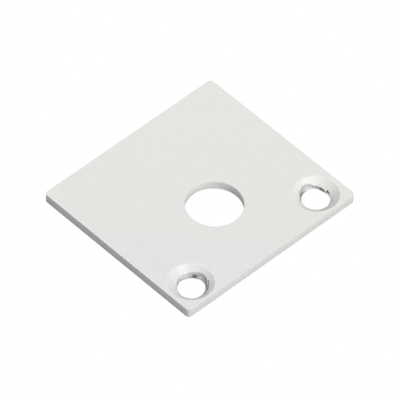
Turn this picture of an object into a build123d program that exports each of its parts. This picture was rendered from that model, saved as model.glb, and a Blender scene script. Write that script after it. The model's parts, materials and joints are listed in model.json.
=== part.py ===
from build123d import *
import os

# End cap for an aluminium profile: one flat plate that screws onto the cut end.
# It has a cable hole, and two screw holes along one edge, countersunk from the front.
# Origin: middle of the plate, on its back face.  +Z points out of the front face,
# X runs along the row of screws, and the screws sit by the -Y edge.  Sizes in mm.

# Plate: 1.5 mm sheet and a coat of 0.05 mm on each side.
plate_width = 35.0
plate_height = 32.0
plate_thickness = 1.6
corner_radius = 0.6
rim_radius = 0.05

# Screw holes: clearance hole, and a conical seat that is as wide as the screw's head.
screw_hole_diameter = 4.3
head_seat_diameter = 7.2
head_seat_angle = 90.0
seat_to_screw_edge = 0.5
seat_to_side_edge = 0.7

# Cable hole, placed from the screw edge and from the middle of the width.
cable_hole_diameter = 9.1
cable_hole_to_screw_edge = 13.0
cable_hole_off_middle = 0.2

# Rounding on the mouths of the holes.  The coat fills the wide angle at the mouth of a
# screw seat more than the square one at the mouth of the cable hole.
seat_mouth_radius = 0.3
cable_mouth_radius = 0.05

# Places of the holes, worked out from the sizes above.
screw_edge = -plate_height / 2
screw_y = screw_edge + seat_to_screw_edge + head_seat_diameter / 2
screw_spacing = plate_width - 2 * (seat_to_side_edge + head_seat_diameter / 2)
cable_x = cable_hole_off_middle
cable_y = screw_edge + cable_hole_to_screw_edge

# Roundings on the front never meet those on the back, however thin the plate is, and a
# seat's mouth stays within the flat land between the seat and the edges of the plate.
half_thickness_share = 0.45
softened_rim = min(rim_radius, half_thickness_share * plate_thickness)
softened_cable_mouth = min(cable_mouth_radius, half_thickness_share * plate_thickness)
seat_land = min(seat_to_screw_edge, seat_to_side_edge) - softened_rim
softened_seat_mouth = min(seat_mouth_radius, half_thickness_share * plate_thickness, seat_land)


with BuildPart() as end_cap:
    # Blank: sheet with rounded corners and softened rims.
    with BuildSketch():
        RectangleRounded(plate_width, plate_height, corner_radius)
    extrude(amount=plate_thickness)
    fillet(end_cap.faces().filter_by(Axis.Z).edges(), radius=softened_rim)

    # Two countersunk screw holes in a row along the screw edge.
    with Locations((0, screw_y, plate_thickness)):
        with GridLocations(screw_spacing, 0, 2, 1):
            CounterSinkHole(
                radius=screw_hole_diameter / 2,
                counter_sink_radius=head_seat_diameter / 2,
                counter_sink_angle=head_seat_angle,
            )

    # Plain cable hole.
    with Locations((cable_x, cable_y, plate_thickness)):
        Hole(radius=cable_hole_diameter / 2)

    # The coat rounds the seats' mouths on the front, and the cable hole's on both faces.
    # The small ends of the seats stay sharp.
    back, front = end_cap.faces().filter_by(Axis.Z).sort_by(Axis.Z)
    cable_mouths = [
        face.inner_wires().sort_by_distance((cable_x, cable_y, 0))[0].edge()
        for face in (back, front)
    ]
    seat_mouths = front.inner_wires().sort_by_distance((cable_x, cable_y, 0))[1:].edges()
    fillet(seat_mouths, radius=softened_seat_mouth)
    fillet(cable_mouths, radius=softened_cable_mouth)

end_cap.part.label = "end_cap_plate"

os.makedirs("parts", exist_ok=True)
export_step(end_cap.part, "parts/end_cap_plate.step")
print("screw spacing", screw_spacing, "screw row y", screw_y, "cable hole", (cable_x, cable_y))
print("volume", round(end_cap.part.volume, 3), "mm3")
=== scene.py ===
import json
import math

import bmesh
import bpy
from mathutils import Matrix, Vector, noise


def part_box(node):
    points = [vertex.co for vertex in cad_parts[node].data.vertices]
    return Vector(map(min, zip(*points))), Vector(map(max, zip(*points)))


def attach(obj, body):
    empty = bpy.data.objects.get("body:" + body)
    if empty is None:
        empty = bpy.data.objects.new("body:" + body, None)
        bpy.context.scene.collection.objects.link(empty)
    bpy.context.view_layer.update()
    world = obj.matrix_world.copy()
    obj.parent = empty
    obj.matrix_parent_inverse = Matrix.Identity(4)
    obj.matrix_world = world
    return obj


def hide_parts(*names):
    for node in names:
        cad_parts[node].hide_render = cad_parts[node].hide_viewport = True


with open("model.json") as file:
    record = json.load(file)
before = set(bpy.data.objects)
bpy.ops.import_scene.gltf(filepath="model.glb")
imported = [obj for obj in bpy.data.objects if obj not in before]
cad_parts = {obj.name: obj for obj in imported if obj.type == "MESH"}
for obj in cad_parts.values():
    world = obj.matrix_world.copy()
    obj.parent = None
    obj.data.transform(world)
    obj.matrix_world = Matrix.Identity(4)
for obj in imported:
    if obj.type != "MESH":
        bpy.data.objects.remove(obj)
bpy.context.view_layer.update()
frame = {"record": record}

# The plate lies on its back face, and its front face looks up.  Metres throughout.
MM = 0.001
MOUNTS = {mount["name"]: mount for mount in frame["record"]["mounts"]}
PLATE_LOW, PLATE_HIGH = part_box("end_cap_plate")
WIDTH = PLATE_HIGH.x - PLATE_LOW.x
DEPTH = PLATE_HIGH.y - PLATE_LOW.y
THICKNESS = PLATE_HIGH.z - PLATE_LOW.z
BACK = PLATE_LOW.z
FRONT = PLATE_HIGH.z
MIDDLE = (PLATE_LOW + PLATE_HIGH) / 2

# Rounding of the sheet and its coat, and the flat strip kept beside each rounded edge.
CORNER_RADIUS = 0.6 * MM
FRONT_RIM_RADIUS = 0.03 * MM
BACK_RIM_RADIUS = 0.02 * MM
CABLE_MOUTH_RADIUS = 0.04 * MM
SEAT_MOUTH_RADIUS = 0.3 * MM
MARGIN = 0.2 * MM

# Screw holes: a short straight land at the back, then a 90 degree seat up to the front.
SCREW_ROW = Vector(MOUNTS["fixing_screws"]["pos_m"])
SCREW_SPACING = MOUNTS["fixing_screws"]["dims"]["spacing_x_mm"] * MM
SCREW_RADIUS = MOUNTS["fixing_screws"]["dims"]["hole_r_mm"] * MM
LAND_HEIGHT = 0.15 * MM
SEAT_RISE = THICKNESS - LAND_HEIGHT
SEAT_RADIUS = SCREW_RADIUS + SEAT_RISE
SEAT_SLOPE = SEAT_RISE * math.sqrt(2)
RINGED_SLOPE = SEAT_SLOPE - MARGIN
LEFT_SCREW = SCREW_ROW - Vector((SCREW_SPACING / 2, 0, 0))
RIGHT_SCREW = SCREW_ROW + Vector((SCREW_SPACING / 2, 0, 0))

# Cable hole.
CABLE_CENTRE = Vector(MOUNTS["cable_hole"]["pos_m"])
CABLE_RADIUS = MOUNTS["cable_hole"]["dims"]["r_mm"] * MM

# Fineness of the mesh.  The lowest rings of a seat are for bare metal, the rest for the coat.
HOLE_SIDES = 256
CORNER_STEPS = 8
RIM_STEPS = 4
SEAT_RINGS = 30
BARE_RINGS = 13

# Corners nearer than TOUCH are at one place.  An edge that turns by more than SHARP_TURN is a
# rim to be rounded, and shading runs smoothly over turns below SMOOTH_TURN.
TOUCH = 0.001 * MM
SHARP_TURN = math.radians(60)
SMOOTH_TURN = math.radians(35)

# The coat has worn off the small end of both seats.  Ways round a hole are in degrees from
# +X towards +Y, and heights are millimetres up the slope of the seat.
COAT_THICKNESS = 0.07 * MM
# The coat's torn edge comes down to the metal over this height.
COAT_STEP = 0.02
# The rings for bare metal lie below this height where the coat is whole.
LEAST_BARE = 0.03
# The metal lies a full coat deep where it is bare up to the first of these heights, and only
# from the second height up.
FULL_DEPTH_EDGE = 0.3
FULL_DEPTH_HEIGHT = 0.15
# The edge is torn at two sizes, each with the degrees from one tear to the next, and is torn
# in full where the metal is bare up to this height.
TEARS = ((0.06, 4), (0.1, 12))
FULL_TEAR_EDGE = 0.3
# The seat is a true cone from this height up, however far its small end lies off its circle.
EXIT_FADE = 0.5
# Millimetres round the seat in one degree, at the middle of the bare metal.
UNROLLED = math.radians(2.5)
# The least light that a dirty spot or a painted shadow keeps.
DARKEST = 0.05

# "exit" is how far the small end lies off its circle, and "bare" is where the coat ends.  Both
# are pairs of a way and millimetres.  A stroke is a scratch, a dirty spot or painted shade: its
# two ends, each a way and a height, its half width in millimetres and how much it darkens; a
# bright stroke is below zero, partly burnished metal and partly a painted highlight.  The painted
# shade lies along the coat's torn edge and the small end, and the painted highlights lie on the
# bare metal and near the mouth.
LEFT_WEAR_AND_SHADE = {
    "centre": LEFT_SCREW,
    "exit": [(-18, 0.15), (9, 0.1), (25, -0.05), (65, -0.15), (98, -0.1), (150, -0.15),
             (205, -0.05), (250, 0), (280, 0), (325, 0.1), (342, 0.15)],
    "bare": [(-120, 0), (-90, 0.7), (-72, 0.85), (-63, 0.83), (-54, 0.92), (-45, 0.8),
             (-36, 0.9), (-27, 0.95), (-18, 0.87), (-9, 0.95), (0, 0.98), (9, 0.95), (18, 0.9),
             (27, 0.82), (36, 0.76), (45, 0.7), (54, 0.66), (63, 0.48), (72, 0.55), (81, 0.52),
             (90, 0.45), (99, 0.4), (117, 0.15), (132, 0)],
    "strokes": [
        (37, 0.1, 27, 0.14, 0.17, 0.67), (38, 0.35, 26, 0.4, 0.16, 0.42),
        (33, 0.12, 31, 0.13, 0.08, 0.25), (24, 0.14, 17, 0.14, 0.13, 0.3),
        (24, 0.42, 14, 0.42, 0.1, 0.15), (18, 0.8, 9, 0.84, 0.09, 0.22),
        (30, 0.7, 22, 0.8, 0.12, -0.15), (10, 0.72, -5, 0.62, 0.12, 0.25),
        (0, 0.75, -12, 0.7, 0.1, 0.2), (-8, 0.6, -20, 0.6, 0.12, 0.5),
        (4, 0.12, -12, 0.26, 0.07, 0.3), (12, 0.25, 6, 0.4, 0.1, -0.15),
        (2, 0.42, -8, 0.38, 0.08, -0.12), (-12, 0.28, -22, 0.34, 0.09, 0.35),
        (-22, 0.34, -33, 0.28, 0.14, 0.55), (-33, 0.24, -48, 0.14, 0.17, 0.6),
        (-24, 0.74, -38, 0.58, 0.05, -0.25), (-23, 0.93, -33, 0.86, 0.1, 0.55),
        (-33, 0.84, -46, 0.74, 0.12, 0.5), (-47, 0.4, -57, 0.5, 0.14, 0.3),
        (-66, 0.55, -78, 0.5, 0.2, 0.15), (-62, 0.15, -68, 0.12, 0.1, 0.2),
        (-86, 0.45, -104, 0.3, 0.2, -0.12), (-86, 0.95, -94, 0.95, 0.15, 0.1),
        (56, 0.52, 47, 0.47, 0.12, 0.2), (55, 0.2, 42, 0.08, 0.13, 0.17),
        (80, 0.42, 64, 0.42, 0.1, 0.12), (74, 0.38, 70, 0.34, 0.1, 0.15),
        (98, 0.24, 95, 0.2, 0.08, 0.15), (120, 0.26, 104, 0.2, 0.1, -0.12),
        (92, 0.52, 88, 0.5, 0.1, 0.12), (108, 0.8, 94, 0.85, 0.12, 0.08),
        (84, 0, 78, -0.15, 0.05, 0.15), (102, -0.08, 62, -0.08, 0.1, -0.2),
        (152, 0.32, 134, 0.1, 0.19, 0.25), (130, 0.1, 120, 0, 0.1, 0.2),
        (-155, 0.02, 158, 0.02, 0.12, 0.25), (-82, 1.1, -98, 1.3, 0.4, 0.12),
        (-46, 0.14, -44, 0.1, 0.1, 0.15),
        (150, 0, 142, 0, 0.1, 0.18), (172, 1.6, -168, 1.6, 0.4, -0.08)],
}
RIGHT_WEAR_AND_SHADE = {
    "centre": RIGHT_SCREW,
    "exit": [(-18, 0.05), (15, -0.1), (26, 0), (36, 0.1), (56, 0.25), (75, 0.2), (100, 0.15),
             (180, 0.1), (195, -0.05), (250, -0.15), (290, -0.05), (342, 0.05)],
    "bare": [(-30, 0), (-18, 0.2), (-9, 0.35), (-3, 0.4), (0, 0.48), (4, 0.25), (9, 0.2),
             (18, 0.27), (27, 0.32), (36, 0.4), (45, 0.45), (54, 0.5), (58, 0.6), (63, 0.85),
             (72, 1.0), (80, 1.08), (90, 1.1), (99, 1.02), (108, 0.88), (117, 0.72), (126, 0.62),
             (140, 0.3), (150, 0)],
    # Its strokes, as on the left: dirt, scratches, painted shade and painted highlights.
    "strokes": [
        (132, 0.5, 119, 0.42, 0.16, 0.42), (135, 0.16, 112, 0.12, 0.12, 0.2),
        (150, 0.1, 106, 0.05, 0.08, 0.14),
        (115, 0.32, 105, 0.25, 0.12, 0.36), (106, 0.18, 95, 0.18, 0.1, 0.3),
        (116, 0.62, 106, 0.8, 0.12, -0.15), (160, 0.6, 142, 0.4, 0.15, 0.3),
        (154, 0.5, 143, 0.15, 0.18, 0.14), (146, 0.34, 136, 0.3, 0.15, 0.2),
        (134, 0.85, 122, 0.92, 0.12, 0.07), (122, 0.95, 117, 0.97, 0.12, 0.15),
        (112, 0.7, 88, 0.72, 0.2, 0.15), (98, 0.92, 76, 0.95, 0.09, 0.25),
        (84, 0.97, 80, 0.95, 0.08, 0.15), (80, 0.94, 78, 0.94, 0.06, 0.15),
        (72, 0.84, 63, 0.62, 0.12, 0.38), (80, 0.52, 66, 0.48, 0.12, 0.22),
        (86, 0.38, 74, 0.36, 0.12, 0.12), (86, 0.12, 46, 0.06, 0.12, -0.65),
        (58, 0.44, 44, 0.28, 0.11, 0.47), (44, 0.3, 30, 0.16, 0.09, 0.45),
        (38, -0.05, 22, -0.05, 0.1, 0.2), (30, 0.12, 14, 0.06, 0.13, 0.75),
        (14, 0.04, 4, 0.02, 0.12, 0.3), (0, 0.36, -1, 0.2, 0.09, 0.9),
        (0, 0.15, 0, 0, 0.1, 0.35), (-3, 0.2, -10, 0.18, 0.11, 0.65),
        (-10, 0.14, -18, 0.08, 0.08, 0.4), (-20, 0.12, -50, 0.24, 0.1, 0.1),
        (-50, 0.1, -72, 0.12, 0.15, 0.12), (-35, 0.4, -95, 0.6, 0.35, 0.12),
        (36, 0.78, 35, 0.74, 0.08, 0.25), (172, 1.6, 150, 1.6, 0.4, -0.06)],
}


# --- Materials ---------------------------------------------------------------------------

# A Mix node's two colours and its result, by number, because its other kinds share the names.
COLOUR_A = 6
COLOUR_B = 7
MIXED = 2
BLOTCH_STRENGTH = 0.018


def linear(hex_colour):
    """The linear colour of an sRGB hex value."""
    shares = [int(hex_colour[i:i + 2], 16) / 255 for i in (1, 3, 5)]
    return tuple(s / 12.92 if s <= 0.04045 else ((s + 0.055) / 1.055) ** 2.4 for s in shares)


def add_node(material, kind, links=(), **settings):
    """Adds a node, sets its properties or sockets by name, and links sockets to others."""
    tree = material.node_tree
    node = tree.nodes.new(kind)
    for name, value in settings.items():
        if hasattr(node, name):
            setattr(node, name, value)
        else:
            node.inputs[name.replace("_", " ")].default_value = value
    for name, source in dict(links).items():
        tree.links.new(source, node.inputs[name])
    return node


def new_material(name):
    material = bpy.data.materials.new(name)
    material.use_nodes = True
    material.node_tree.nodes.clear()
    return material


def white_powder_coat():
    """Polyester powder, sprayed and baked on sheet: off-white, satin, with a soft orange peel."""
    material = new_material("white_powder_coat")
    place = add_node(material, "ShaderNodeTexCoord").outputs["Object"]

    # The colour is a touch warmer and paler towards the far corner.
    across = add_node(material, "ShaderNodeMapping", {"Vector": place},
                      Location=(0.5, 0, 0), Rotation=(0, 0, math.radians(-45)),
                      Scale=(1 / math.hypot(WIDTH, DEPTH),) * 3)
    far_corner_ramp = add_node(material, "ShaderNodeTexGradient", {"Vector": across.outputs[0]})
    colour = add_node(material, "ShaderNodeMix", {"Factor": far_corner_ramp.outputs["Fac"]}, data_type="RGBA")
    colour.inputs[COLOUR_A].default_value = (*linear("#E3E4E2"), 1)
    colour.inputs[COLOUR_B].default_value = (*linear("#E9EAE4"), 1)

    # Dirt and scuffs round the worn seats, painted shade along the coat's torn edge and painted
    # highlights near the mouths, and faint blotches of 0.5 and 1 mm all over.
    shade = add_node(material, "ShaderNodeAttribute", attribute_name="shade").outputs["Fac"]
    blotches = add_node(material, "ShaderNodeTexNoise", {"Vector": place}, normalize=False,
                        Scale=0.9 / MM, Detail=1.0, Roughness=0.9)
    marked = add_node(material, "ShaderNodeMath", {0: blotches.outputs[0], 2: shade},
                      operation="MULTIPLY_ADD")
    marked.inputs[1].default_value = BLOTCH_STRENGTH
    worn_and_shaded = add_node(material, "ShaderNodeVectorMath",
                    {0: colour.outputs[MIXED], "Scale": marked.outputs[0]}, operation="SCALE")

    # Orange peel: waves about 0.8 mm across and a few thousandths high.
    peel = add_node(material, "ShaderNodeTexNoise", {"Vector": place}, Scale=1.2 / MM, Detail=1.0)
    bump = add_node(material, "ShaderNodeBump", {"Height": peel.outputs[0]}, Distance=0.004 * MM)
    shader = add_node(
        material, "ShaderNodeBsdfPrincipled",
        {"Base Color": worn_and_shaded.outputs[0], "Normal": bump.outputs[0]}, Roughness=0.5)
    add_node(material, "ShaderNodeOutputMaterial", {"Surface": shader.outputs["BSDF"]})
    return material


def bare_aluminium():
    """Aluminium where the coat is off: dull grey, with the round scratches of the countersink."""
    material = new_material("bare_aluminium")

    # Scratches run round the hole for about a millimetre and lie about 0.1 mm apart.
    round_seat = add_node(material, "ShaderNodeAttribute", attribute_name="round_seat")
    along = add_node(material, "ShaderNodeMapping", {"Vector": round_seat.outputs["Vector"]},
                     Scale=(2.0, 2.0, 9.0))
    scratches = add_node(material, "ShaderNodeTexNoise", {"Vector": along.outputs[0]},
                         Scale=1.0, Detail=3.0)
    metal = add_node(material, "ShaderNodeMix", {"Factor": scratches.outputs[0]}, data_type="RGBA")
    metal.inputs[COLOUR_A].default_value = (*linear("#B9B9B7"), 1)
    metal.inputs[COLOUR_B].default_value = (*linear("#F2F2F0"), 1)

    # Deeper scratches and dirty spots, with painted shade along the small end and painted
    # highlights and reflections on the metal.
    shade = add_node(material, "ShaderNodeAttribute", attribute_name="shade").outputs["Fac"]
    worn_and_shaded = add_node(material, "ShaderNodeVectorMath", {0: metal.outputs[MIXED], "Scale": shade},
                    operation="SCALE")
    bump = add_node(material, "ShaderNodeBump", {"Height": scratches.outputs[0]},
                    Distance=0.01 * MM)
    shader = add_node(
        material, "ShaderNodeBsdfPrincipled",
        {"Base Color": worn_and_shaded.outputs[0], "Normal": bump.outputs[0]}, Metallic=1.0, Roughness=0.7)
    add_node(material, "ShaderNodeOutputMaterial", {"Surface": shader.outputs["BSDF"]})
    return material


def white_paper():
    """Seamless paper: seen as plain white, and lights the plate from below as dim paper does."""
    material = new_material("white_paper")
    seen = add_node(material, "ShaderNodeEmission", Color=(1, 1, 1, 1), Strength=1.0)
    real = add_node(material, "ShaderNodeBsdfDiffuse", Color=(*linear("#9A9999"), 1))
    path = add_node(material, "ShaderNodeLightPath")
    mix = add_node(material, "ShaderNodeMixShader", {0: path.outputs["Is Camera Ray"]})
    material.node_tree.links.new(real.outputs[0], mix.inputs[1])
    material.node_tree.links.new(seen.outputs[0], mix.inputs[2])
    add_node(material, "ShaderNodeOutputMaterial", {"Surface": mix.outputs[0]})
    material.cycles.emission_sampling = "NONE"
    return material


# --- Plate -------------------------------------------------------------------------------


def from_axis(centre, place):
    return math.hypot(place.x - centre.x, place.y - centre.y)


def lies_at(edge, height):
    return all(abs(corner.co.z - height) < TOUCH for corner in edge.verts)


def lies_round(edge, centre, radius):
    return all(abs(from_axis(centre, corner.co) - radius) < TOUCH for corner in edge.verts)


def is_sharp(edge):
    return edge.calc_face_angle() > SHARP_TURN


def is_exit(corner):
    """True at the sharp small end of a screw hole."""
    return any(from_axis(centre, corner.co) < SCREW_RADIUS + TOUCH
               for centre in (LEFT_SCREW, RIGHT_SCREW))


def select_edges(piece, test):
    """In edit mode, selects the edges that pass the test, and nothing else."""
    bpy.ops.mesh.select_all(action="DESELECT")
    mesh = bmesh.from_edit_mesh(piece.data)
    for edge in mesh.edges:
        if test(edge):
            edge.select_set(True)
    bmesh.update_edit_mesh(piece.data)


def pull_loop(centre, widen, rise):
    """Extrudes the selected loop, widens it in X and Y, and lifts it."""
    bpy.ops.mesh.extrude_edges_move()
    bpy.ops.transform.resize(value=(*widen, 1), center_override=centre)
    bpy.ops.transform.translate(value=(0, 0, rise))


def draw_outline():
    """The edge of the sheet: flat strip, side wall, flat strip."""
    bpy.ops.mesh.primitive_plane_add(size=1)
    piece = bpy.context.object
    bpy.ops.object.mode_set(mode="EDIT")
    bpy.ops.mesh.select_mode(type="EDGE")
    bpy.ops.transform.resize(value=(WIDTH, DEPTH, 1))
    bpy.ops.transform.translate(value=(MIDDLE.x, MIDDLE.y, FRONT))
    bpy.ops.mesh.bevel(
        affect="VERTICES", offset_type="OFFSET", offset=CORNER_RADIUS, segments=CORNER_STEPS)
    bpy.ops.mesh.delete(type="ONLY_FACE")

    # From the front strip's inner line out to the edge, down the side, and in at the back.
    inner = ((WIDTH - 2 * MARGIN) / WIDTH, (DEPTH - 2 * MARGIN) / DEPTH)
    outer = (1 / inner[0], 1 / inner[1])
    centre = (MIDDLE.x, MIDDLE.y, 0)
    bpy.ops.mesh.select_all(action="SELECT")
    bpy.ops.transform.resize(value=(*inner, 1), center_override=centre)
    pull_loop(centre, outer, 0)
    pull_loop(centre, (1, 1), -THICKNESS)
    pull_loop(centre, inner, 0)
    return piece


def turn_hole(centre, profile):
    """A round hole, ring by ring, from a list of radius and height."""
    bpy.ops.mesh.select_all(action="DESELECT")
    radius, height = profile[0]
    bpy.ops.mesh.primitive_circle_add(
        vertices=HOLE_SIDES, radius=radius, fill_type="NOTHING",
        location=(centre.x, centre.y, height))
    for (old_radius, old_height), (radius, height) in zip(profile, profile[1:]):
        widen = radius / old_radius
        pull_loop((centre.x, centre.y, old_height), (widen, widen), height - old_height)


def turn_cable_hole():
    turn_hole(CABLE_CENTRE, [(CABLE_RADIUS + MARGIN, FRONT), (CABLE_RADIUS, FRONT),
                             (CABLE_RADIUS, BACK), (CABLE_RADIUS + MARGIN, BACK)])


def turn_screw_hole(centre):
    """A seat ring by ring and the land below it.  Its strip at the back leaves room for the small
    end to shift.
    """
    runs = [RINGED_SLOPE / math.sqrt(2) * ring / SEAT_RINGS for ring in range(SEAT_RINGS, -1, -1)]
    seat = [(SCREW_RADIUS + run, BACK + LAND_HEIGHT + run) for run in runs]
    turn_hole(centre, [(SEAT_RADIUS + MARGIN, FRONT), (SEAT_RADIUS, FRONT), *seat,
                       (SCREW_RADIUS, BACK), (SCREW_RADIUS + 2 * MARGIN, BACK)])


def close_face(piece, height):
    """Fills between the open loops at this height."""
    select_edges(piece, lambda edge: edge.is_boundary and lies_at(edge, height))
    bpy.ops.mesh.fill(use_beauty=False)


def round_rims(piece):
    """The coat rounds every edge but the small ends of the screw holes."""
    for height in (FRONT, BACK):
        select_edges(piece, lambda edge: lies_at(edge, height) and lies_round(
            edge, CABLE_CENTRE, CABLE_RADIUS))
        bpy.ops.mesh.bevel(offset=CABLE_MOUTH_RADIUS, segments=RIM_STEPS)
    select_edges(piece, lambda edge: lies_at(edge, FRONT) and any(
        lies_round(edge, centre, SEAT_RADIUS) for centre in (LEFT_SCREW, RIGHT_SCREW)))
    # The mouth turns 45 degrees, so its rounding reaches the radius times the tangent of half.
    reach = SEAT_MOUTH_RADIUS * math.tan(math.radians(22.5))
    bpy.ops.mesh.bevel(offset=reach, segments=RIM_STEPS)
    for height, radius in ((FRONT, FRONT_RIM_RADIUS), (BACK, BACK_RIM_RADIUS)):
        select_edges(piece, lambda edge: lies_at(edge, height) and is_sharp(edge)
                     and not any(map(is_exit, edge.verts)))
        bpy.ops.mesh.bevel(offset=radius, segments=RIM_STEPS)


def between(points, way):
    """The value at this way round, smooth between the nearest points, and nothing outside them."""
    way = (way - points[0][0]) % 360 + points[0][0]
    for (way_a, value_a), (way_b, value_b) in zip(points, points[1:]):
        if way_a <= way <= way_b:
            share = (way - way_a) / (way_b - way_a)
            return value_a + (value_b - value_a) * share * share * (3 - 2 * share)
    return 0.0


def turn_to(start, way):
    """The shorter turn between two ways, in degrees."""
    return (way - start + 180) % 360 - 180


def ragged(way, size, step):
    """Uneven by up to about this size, about every step degrees round."""
    turn = math.radians(way)
    fineness = 360 / (math.tau * step)
    return size * noise.noise(Vector((math.cos(turn), math.sin(turn), size)) * fineness)


def bare_height(wear_and_shade, way):
    """How far up the seat the bare metal reaches, in mm, with the coat's torn edge."""
    height = between(wear_and_shade["bare"], way)
    tear = sum(ragged(way, size, step) for size, step in TEARS)
    return max(0.0, height + tear * min(1.0, height / FULL_TEAR_EDGE))


def kept_light(wear_and_shade, way, height):
    """How much light it keeps under scratches, dirt, painted shade and painted highlights."""
    dark = 0.0
    for way_a, height_a, way_b, height_b, half_width, strength in wear_and_shade["strokes"]:
        run = Vector((UNROLLED * turn_to(way_a, way_b), height_b - height_a))
        here = Vector((UNROLLED * turn_to(way_a, way), height - height_a))
        share = min(1.0, max(0.0, here.dot(run) / max(run.length_squared, 1e-6)))
        off = (here - share * run).length / half_width
        dark += strength * math.exp(-off * off)
    return max(DARKEST, 1.0 - dark)


def ring_height(wear_and_shade, way, ring):
    """How far up the slope a ring lies, in mm: bare rings up to the torn edge, coated above."""
    edge = max(bare_height(wear_and_shade, way), LEAST_BARE)
    if ring <= BARE_RINGS:
        return edge * ring / BARE_RINGS
    start = edge + COAT_STEP
    share = (ring - BARE_RINGS - 1) / (SEAT_RINGS - BARE_RINGS - 1)
    return start + (RINGED_SLOPE / MM - start) * share


def place_on_seat(wear_and_shade, way, ring, height):
    """Where a ring crosses this way, with the small end off its circle and bare metal sunk."""
    out = Vector((math.cos(math.radians(way)), math.sin(math.radians(way)), 0))
    down = (out - Vector((0, 0, 1))).normalized()
    run = height * MM / math.sqrt(2)
    off_circle = between(wear_and_shade["exit"], way) * MM * max(0.0, 1 - height / EXIT_FADE) ** 2
    foot = Vector((wear_and_shade["centre"].x, wear_and_shade["centre"].y, BACK + LAND_HEIGHT + run))
    place = foot + out * (SCREW_RADIUS + run + off_circle)
    if ring <= BARE_RINGS:
        full = min(1.0, bare_height(wear_and_shade, way) / FULL_DEPTH_EDGE)
        place += down * COAT_THICKNESS * full * min(1.0, height / FULL_DEPTH_HEIGHT)
    return place


def is_on_land(corner):
    """True at the foot of the straight land below a seat."""
    return corner.co.z < BACK + LAND_HEIGHT - TOUCH


def is_on_seat(centre, corner):
    """True on the seat and the land below it, but not on the back face beside them."""
    reach = SCREW_RADIUS if is_on_land(corner) else SEAT_RADIUS
    return from_axis(centre, corner.co) < reach + TOUCH


def wear_and_shade_seat(piece, wear_and_shade):
    """Draws the rings of a seat to the torn edge of its coat, and sinks the bare metal."""
    centre = wear_and_shade["centre"]
    shades = piece.data.attributes["shade"]
    places = piece.data.attributes["round_seat"]
    bare = set()
    for vertex in piece.data.vertices:
        if not is_on_seat(centre, vertex):
            continue
        way = math.degrees(math.atan2(vertex.co.y - centre.y, vertex.co.x - centre.x))
        height = (from_axis(centre, vertex.co) - SCREW_RADIUS) * math.sqrt(2) / MM
        ring = round(height * SEAT_RINGS * MM / RINGED_SLOPE)
        out = Vector((vertex.co.x - centre.x, vertex.co.y - centre.y, 0)).normalized()
        if is_on_land(vertex):
            vertex.co += out * between(wear_and_shade["exit"], way) * MM
        elif ring <= SEAT_RINGS:
            height = ring_height(wear_and_shade, way, ring)
            vertex.co = place_on_seat(wear_and_shade, way, ring, height)
        if ring <= BARE_RINGS and bare_height(wear_and_shade, way) > LEAST_BARE:
            bare.add(vertex.index)
        # The shade holds dirt and scratches, painted shade and painted highlights.
        shades.data[vertex.index].value = kept_light(wear_and_shade, way, height)
        places.data[vertex.index].vector = (out.x, out.y, height)
    return bare


def draw_plate():
    """The whole plate as one closed mesh, as it was before it wore."""
    piece = draw_outline()
    piece.name = "coated_plate"
    turn_cable_hole()
    turn_screw_hole(LEFT_SCREW)
    turn_screw_hole(RIGHT_SCREW)
    close_face(piece, FRONT)
    close_face(piece, BACK)
    bpy.ops.mesh.select_all(action="SELECT")
    bpy.ops.mesh.remove_doubles(threshold=TOUCH / 100)
    bpy.ops.mesh.normals_make_consistent(inside=False)
    round_rims(piece)
    bpy.ops.object.mode_set(mode="OBJECT")
    return piece


def build_plate():
    """The coated plate, with the coat rubbed off the small ends of its seats."""
    piece = draw_plate()
    piece.data.materials.append(white_powder_coat())
    piece.data.materials.append(bare_aluminium())
    shades = piece.data.attributes.new("shade", "FLOAT", "POINT")
    shades.data.foreach_set("value", [1.0] * len(piece.data.vertices))
    piece.data.attributes.new("round_seat", "FLOAT_VECTOR", "POINT")
    bare = wear_and_shade_seat(piece, LEFT_WEAR_AND_SHADE) | wear_and_shade_seat(piece, RIGHT_WEAR_AND_SHADE)
    for face in piece.data.polygons:
        face.material_index = int(all(corner in bare for corner in face.vertices))
    bpy.ops.object.shade_smooth_by_angle(angle=SMOOTH_TURN)
    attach(piece, "root")
    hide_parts("end_cap_plate")


# --- Studio ------------------------------------------------------------------------------

# The camera looks from in front and to the left, leans a little and sees with a long lens.
CAMERA_AZIMUTH = -45.17
CAMERA_ELEVATION = 48.49
CAMERA_ROLL = 2.19
CAMERA_DISTANCE = 1.088
CAMERA_LENS = 642.5
AIM_BELOW_MIDDLE = 0.965 * MM
SOFTBOX_DISTANCE = 0.6
SOFTBOX_SIZE = 0.3
FLOOR_SIZE = 4.0


def direction(azimuth, elevation):
    """The way from the object to a place seen at these angles; azimuth 0 is at -Y."""
    a, e = math.radians(azimuth), math.radians(elevation)
    return Vector((math.sin(a) * math.cos(e), -math.cos(a) * math.cos(e), math.sin(e)))


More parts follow.
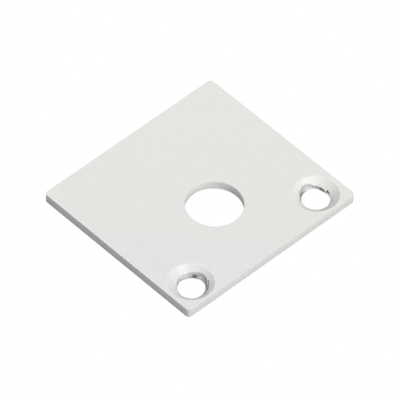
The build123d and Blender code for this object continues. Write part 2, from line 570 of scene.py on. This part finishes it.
def add_camera():
    """Aims the camera a little below the middle of the front face in its view."""
    back = direction(CAMERA_AZIMUTH, CAMERA_ELEVATION)
    level = direction(CAMERA_AZIMUTH + 90, 0)
    upright = back.cross(level)
    lean = math.radians(CAMERA_ROLL)
    right = math.cos(lean) * level + math.sin(lean) * upright
    up = math.cos(lean) * upright - math.sin(lean) * level
    aim = Vector((0, 0, FRONT)) - AIM_BELOW_MIDDLE * up
    camera = bpy.data.cameras.new("camera")
    camera.lens = CAMERA_LENS
    camera.clip_end = 10
    holder = bpy.data.objects.new("camera", camera)
    place = aim + back * CAMERA_DISTANCE
    holder.matrix_world = Matrix(
        ((right.x, up.x, back.x, place.x),
         (right.y, up.y, back.y, place.y),
         (right.z, up.z, back.z, place.z),
         (0, 0, 0, 1)))
    bpy.context.scene.collection.objects.link(holder)
    bpy.context.scene.camera = holder


def add_softbox(name, azimuth, elevation, power, hex_colour):
    """A round softbox that faces the plate, with its power in watts."""
    light = bpy.data.lights.new(name, "AREA")
    light.shape = "DISK"
    light.size = SOFTBOX_SIZE
    light.energy = power
    light.color = linear(hex_colour)
    holder = bpy.data.objects.new(name, light)
    away = direction(azimuth, elevation)
    holder.location = away * SOFTBOX_DISTANCE
    holder.rotation_mode = "QUATERNION"
    holder.rotation_quaternion = away.to_track_quat("Z", "Y")
    bpy.context.scene.collection.objects.link(holder)


def add_floor():
    bpy.ops.mesh.primitive_plane_add(size=FLOOR_SIZE)
    floor = bpy.context.object
    floor.name = "paper_floor"
    floor.data.materials.append(white_paper())


def add_world():
    """A dark world, so that the softboxes and the paper give all the light."""
    world = bpy.data.worlds.new("studio")
    world.use_nodes = True
    world.node_tree.nodes["Background"].inputs["Strength"].default_value = 0.0
    bpy.context.scene.world = world


bpy.context.scene.view_settings.view_transform = "Standard"
bpy.ops.object.select_all(action="DESELECT")
build_plate()
add_camera()
add_floor()
add_world()
add_softbox("left_low", -60, 15, 0.74, "#F0F1FF")
add_softbox("front_key", 0, 35, 2.49, "#FFFDFD")
add_softbox("front_low", 30, 15, 0.46, "#FFFDFD")
add_softbox("right_low", 90, 15, 0.49, "#F8FFFF")
add_softbox("back_left", -150, 58, 0.95, "#FFFFFF")
add_softbox("back_high", 180, 58, 1.32, "#FFFFFF")
